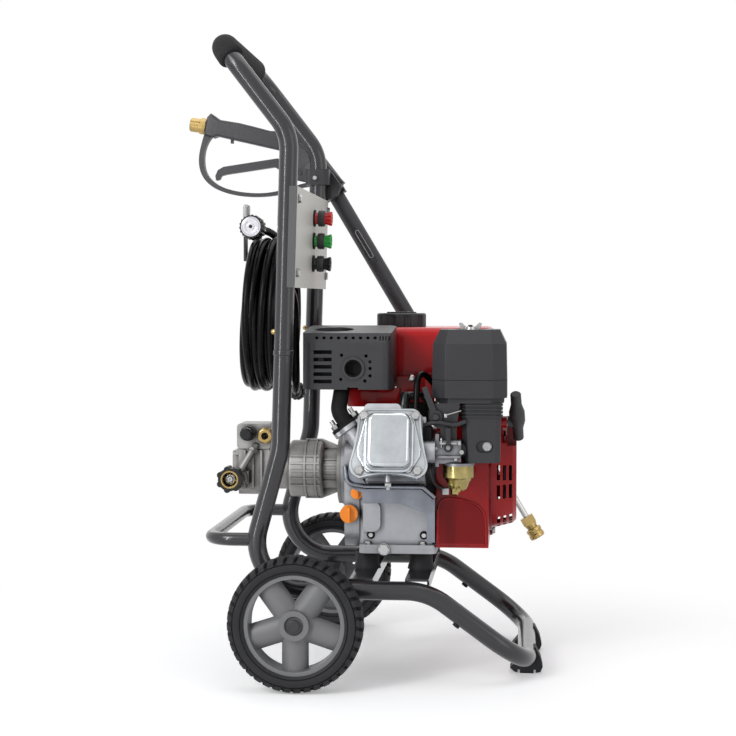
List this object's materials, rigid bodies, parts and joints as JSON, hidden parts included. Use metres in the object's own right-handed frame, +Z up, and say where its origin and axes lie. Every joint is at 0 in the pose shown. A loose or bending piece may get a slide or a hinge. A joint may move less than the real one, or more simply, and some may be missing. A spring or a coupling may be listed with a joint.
{
  "type": "petrol pressure washer",
  "caption": "Wheeled tube-frame pressure washer with a petrol engine, axial pump, coiled hose, spray gun with lance and quick-connect nozzles.",
  "frame": {"origin": "on the floor under the middle of the machine's bounding box", "axes": "+X to the front feet, +Y to the side with the spray gun, +Z up"},
  "size_m": [0.5554, 0.5066, 0.877],
  "materials": {
    "frame_paint": "gloss gunmetal powder coat",
    "black_paint": "satin heat-resistant black",
    "red_paint": "gloss",
    "panel_paint": "satin light grey",
    "cast_aluminium": "die cast",
    "pump_aluminium": "die cast, matt",
    "bright_steel": "zinc plated",
    "chrome_plate": "polished",
    "yellow_zinc": "yellow passivated zinc",
    "brass": "machined",
    "black_rubber": "moulded",
    "hose_rubber": "smooth",
    "tyre_rubber": "lugged",
    "rim_plastic": "moulded grey",
    "black_plastic": "fine texture",
    "gloss_black_plastic": "moulded",
    "red_plastic": "moulded",
    "green_plastic": "moulded",
    "orange_plastic": "moulded",
    "rope_cord": "braided"
  },
  "bodies": {
    "machine": {"lower_frame": "frame_paint", "rear_bar": "frame_paint", "handle_tube": "frame_paint", "handle_grip": "black_rubber", "axle": "bright_steel", "frame_brackets": "frame_paint", "rubber_mounts": "black_rubber", "nozzle_panel": "panel_paint", "hose_hook": "black_paint", "gun_holder": "black_plastic", "crankcase": "cast_aluminium", "cylinder_head": "cast_aluminium", "valve_cover": "chrome_plate", "flange_bolts": "bright_steel", "lower_shroud": "bright_steel", "muffler_shield": "black_paint", "muffler": "black_paint", "fuel_tank": "red_paint", "fan_housing": "red_paint", "recoil_cover": "red_paint", "carburettor": "cast_aluminium", "float_bowl": "yellow_zinc", "air_filter_base": "black_plastic", "air_filter_cover": "black_plastic", "intake_bracket": "black_plastic", "fuel_hoses": "black_rubber", "pump_crankcase": "pump_aluminium", "pump_head": "pump_aluminium", "pump_outlet": "brass", "hose_coil": "hose_rubber", "hose_tail": "hose_rubber", "hose_fittings": "gloss_black_plastic"},
    "near_wheel": {"wheel_rim_near": "rim_plastic", "tyre_near": "tyre_rubber"},
    "far_wheel": {"wheel_rim_far": "rim_plastic", "tyre_far": "tyre_rubber"},
    "near_button": {"snap_button_near": "brass"},
    "far_button": {"snap_button_far": "brass"},
    "red_nozzle": {"nozzle_red": "red_plastic"},
    "green_nozzle": {"nozzle_green": "green_plastic"},
    "black_nozzle": {"nozzle_black": "gloss_black_plastic"},
    "spray_gun": {"gun_body": "black_plastic", "gun_fittings": "brass", "lance_sleeve": "black_plastic", "lance_tube": "bright_steel"},
    "trigger": {"gun_trigger": "black_plastic"},
    "quick_collar": {"coupler_collar": "brass"},
    "pressure_knob": {"unloader_knob": "gloss_black_plastic"},
    "inlet_swivel": {"inlet_nut": "gloss_black_plastic"},
    "filler_cap": {"fuel_cap": "black_plastic"},
    "dipstick": {"oil_dipstick": "orange_plastic"},
    "filler_plug": {"oil_filler_plug": "orange_plastic"},
    "starter_grip": {"starter_handle": "black_rubber", "starter_rope": "rope_cord"},
    "rope_pulley": {"starter_pulley": "black_plastic"},
    "crankshaft": {"flywheel": "cast_aluminium"},
    "choke": {"choke_lever": "bright_steel"},
    "throttle": {"throttle_lever": "black_plastic"},
    "filter_nut": {"wing_nut": "bright_steel"}
  },
  "joints": [
    {"name": "near_wheel_spin", "type": "hinge", "parent": "machine", "child": "near_wheel", "pos_m": [-0.056, -0.228, 0.09], "axis": [0, 1, 0], "continuous": true},
    {"name": "far_wheel_spin", "type": "hinge", "parent": "machine", "child": "far_wheel", "pos_m": [-0.056, 0.228, 0.09], "axis": [0, 1, 0], "continuous": true},
    {"name": "near_button_press", "type": "slide", "parent": "machine", "child": "near_button", "axis": [0.9996, 0, -0.0298], "range_m": [0, 0.004], "stiffness_N_per_m": 2000},
    {"name": "far_button_press", "type": "slide", "parent": "machine", "child": "far_button", "axis": [0.9996, 0, -0.0298], "range_m": [0, 0.004], "stiffness_N_per_m": 2000},
    {"name": "red_nozzle_pull", "type": "slide", "parent": "machine", "child": "red_nozzle", "axis": [0.9996, 0, -0.0298], "range_m": [0, 0.05]},
    {"name": "green_nozzle_pull", "type": "slide", "parent": "machine", "child": "green_nozzle", "axis": [0.9996, 0, -0.0298], "range_m": [0, 0.05]},
    {"name": "black_nozzle_pull", "type": "slide", "parent": "machine", "child": "black_nozzle", "axis": [0.9996, 0, -0.0298], "range_m": [0, 0.05]},
    {"name": "gun_unhook", "type": "slide", "parent": "machine", "child": "spray_gun", "axis": [0, 1, 0], "range_m": [0, 0.15]},
    {"name": "trigger_squeeze", "type": "hinge", "parent": "spray_gun", "child": "trigger", "pos_m": [-0.106, 0.215, 0.712], "axis": [0, 1, 0], "range_deg": [0, 15], "stiffness_Nm_per_rad": 2, "springref_deg": -8.59},
    {"name": "collar_retract", "type": "slide", "parent": "spray_gun", "child": "quick_collar", "axis": [-0.5105, 0, 0.8599], "range_m": [0, 0.004], "stiffness_N_per_m": 1500, "springref_m": -0.001},
    {"name": "pressure_knob_turn", "type": "hinge", "parent": "machine", "child": "pressure_knob", "pos_m": [-0.15, -0.023, 0.325], "axis": [0, -1, 0], "range_deg": [-270, 0]},
    {"name": "inlet_swivel_turn", "type": "hinge", "parent": "machine", "child": "inlet_swivel", "pos_m": [-0.171, -0.06, 0.262], "axis": [0, -1, 0], "continuous": true},
    {"name": "filler_cap_turn", "type": "hinge", "parent": "machine", "child": "filler_cap", "pos_m": [0.0625, 0.064, 0.476], "axis": [0, 0, 1], "range_deg": [0, 90]},
    {"name": "dipstick_turn", "type": "hinge", "parent": "machine", "child": "dipstick", "pos_m": [0.002, -0.102, 0.22], "axis": [0, -1, 0], "range_deg": [0, 360]},
    {"name": "filler_plug_turn", "type": "hinge", "parent": "machine", "child": "filler_plug", "pos_m": [0.013, -0.1, 0.249], "axis": [0, -1, 0], "range_deg": [0, 360]},
    {"name": "starter_pull", "type": "slide", "parent": "machine", "child": "starter_grip", "axis": [1, 0, 0], "range_m": [0, 0.5], "stiffness_N_per_m": 20, "springref_m": -0.2},
    {"name": "pulley_spin", "type": "hinge", "parent": "machine", "child": "rope_pulley", "pos_m": [0.213, 0.015, 0.271], "axis": [1, 0, 0], "range_deg": [0, 720]},
    {"name": "crank_spin", "type": "hinge", "parent": "machine", "child": "crankshaft", "pos_m": [0.15, 0.015, 0.271], "axis": [1, 0, 0], "continuous": true},
    {"name": "choke_turn", "type": "hinge", "parent": "machine", "child": "choke", "pos_m": [0.141, -0.152, 0.317], "axis": [0, -1, 0], "range_deg": [0, 45]},
    {"name": "throttle_turn", "type": "hinge", "parent": "machine", "child": "throttle", "pos_m": [0.124, -0.146, 0.358], "axis": [0, -1, 0], "range_deg": [-15, 12]},
    {"name": "filter_nut_turn", "type": "hinge", "parent": "machine", "child": "filter_nut", "pos_m": [0.1685, -0.096, 0.469], "axis": [0, 0, 1], "range_deg": [0, 720]}
  ],
  "couplings": [
    {"joint": "pulley_spin", "follows": "starter_pull", "rad_per_m": 23.81}
  ]
}
